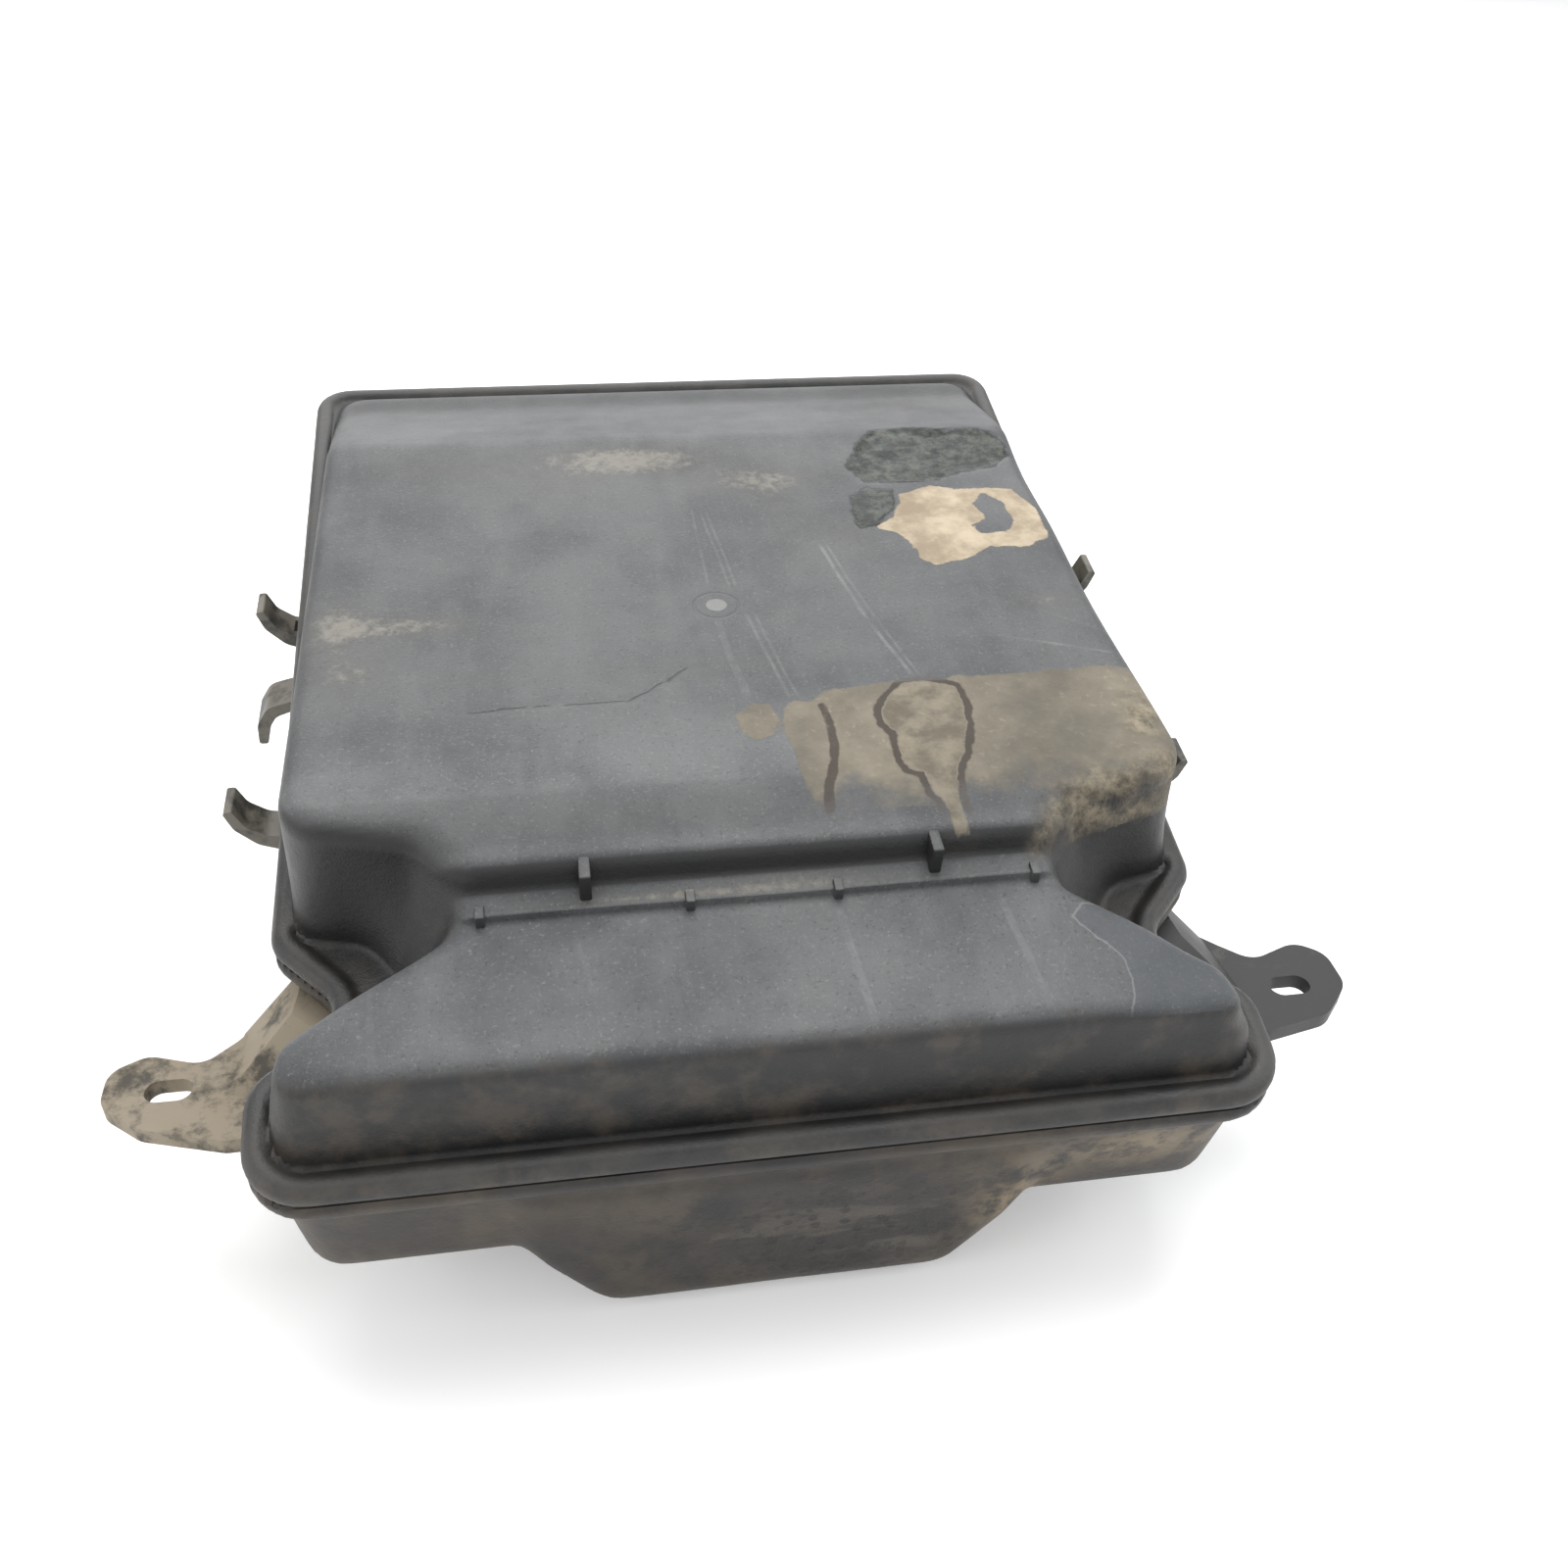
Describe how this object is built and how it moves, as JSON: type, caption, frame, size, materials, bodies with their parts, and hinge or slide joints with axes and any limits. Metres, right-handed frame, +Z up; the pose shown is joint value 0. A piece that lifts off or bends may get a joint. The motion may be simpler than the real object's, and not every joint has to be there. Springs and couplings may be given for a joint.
{
  "type": "battery box",
  "caption": "Two-piece moulded battery box with a stepped lift-off cover, slotted mounting ears, side hose hooks and a clamped battery inside.",
  "frame": {"origin": "on the standing surface, under the centre of the part's bounding box", "axes": "+X across the box, +Y from the front shelf to the back, +Z up"},
  "size_m": [0.425, 0.4412, 0.1656],
  "materials": {
    "shell_plastic": "matte weathered black polypropylene, dusty",
    "shell_plastic_lower": "matte weathered black polypropylene, scuffed and muddy",
    "ear_plastic": "matte black plastic under dried mud",
    "hook_plastic": "matte black plastic",
    "seal_rubber": "soft matt EPDM rubber",
    "mat_rubber": "ribbed rubber",
    "pad_foam": "closed-cell foam",
    "battery_case_plastic": "fine-textured polypropylene",
    "battery_lid_plastic": "fine-textured polypropylene",
    "battery_strip_plastic": "satin polypropylene",
    "terminal_lead": "dull cast lead",
    "zinc_steel": "zinc plated",
    "pin_steel": "drawn steel wire",
    "bar_steel": "black powder coat",
    "cap_red": "satin red",
    "cap_black": "satin black",
    "fuse_plastic": "glass-filled nylon",
    "fuse_lid_plastic": "satin grey-black",
    "fuse_body": "glossy amber"
  },
  "bodies": {
    "tray": {"lower_tray": "shell_plastic_lower", "perimeter_seal": "seal_rubber", "mounting_ear_left": "ear_plastic", "mounting_ear_right": "ear_plastic", "hose_hook_left_rear": "hook_plastic", "hose_hook_left_middle": "hook_plastic", "hose_hook_left_front": "hook_plastic", "hose_hook_right_rear": "hook_plastic", "hose_hook_right_middle": "hook_plastic", "hose_hook_right_front": "hook_plastic", "battery_mat": "mat_rubber", "battery_case": "battery_case_plastic", "battery_lid": "battery_lid_plastic", "battery_vent_strip": "battery_strip_plastic", "terminal_post_positive": "terminal_lead", "terminal_post_negative": "terminal_lead", "terminal_nuts": "zinc_steel", "terminal_bolts": "zinc_steel", "terminal_cap_lugs": "battery_lid_plastic", "terminal_cap_pins": "pin_steel", "hold_down_bar": "bar_steel", "hold_down_pad": "mat_rubber", "hold_down_rods": "zinc_steel", "hold_down_washers": "zinc_steel", "hold_down_nuts": "zinc_steel", "battery_side_pads": "pad_foam", "lead_grommet_right": "seal_rubber", "lead_grommet_left": "seal_rubber", "drain_valve": "seal_rubber", "fuse_holder_base": "fuse_plastic", "main_fuse": "fuse_body", "fuse_studs": "zinc_steel", "fuse_nuts": "zinc_steel", "fuse_hinge_lugs": "fuse_plastic", "fuse_hinge_pin": "pin_steel"},
    "cover": {"upper_cover": "shell_plastic"},
    "cap_positive": {"terminal_cap_positive": "cap_red"},
    "cap_negative": {"terminal_cap_negative": "cap_black"},
    "fuse_lid": {"fuse_holder_lid": "fuse_lid_plastic"}
  },
  "joints": [
    {"name": "cover_lift", "type": "slide", "parent": "tray", "child": "cover", "axis": [0, -0.1392, 0.9903], "range_m": [0, 0.16]},
    {"name": "positive_cap_hinge", "type": "hinge", "parent": "tray", "child": "cap_positive", "pos_m": [-0.028, 0.04991, 0.1204], "axis": [-1, 0, 0], "range_deg": [0, 95]},
    {"name": "negative_cap_hinge", "type": "hinge", "parent": "tray", "child": "cap_negative", "pos_m": [0.028, 0.04991, 0.1204], "axis": [-1, 0, 0], "range_deg": [0, 95]},
    {"name": "fuse_lid_hinge", "type": "hinge", "parent": "tray", "child": "fuse_lid", "pos_m": [0.1306, -0.02162, 0.07874], "axis": [0, 0.9903, 0.1392], "range_deg": [0, 90]}
  ]
}
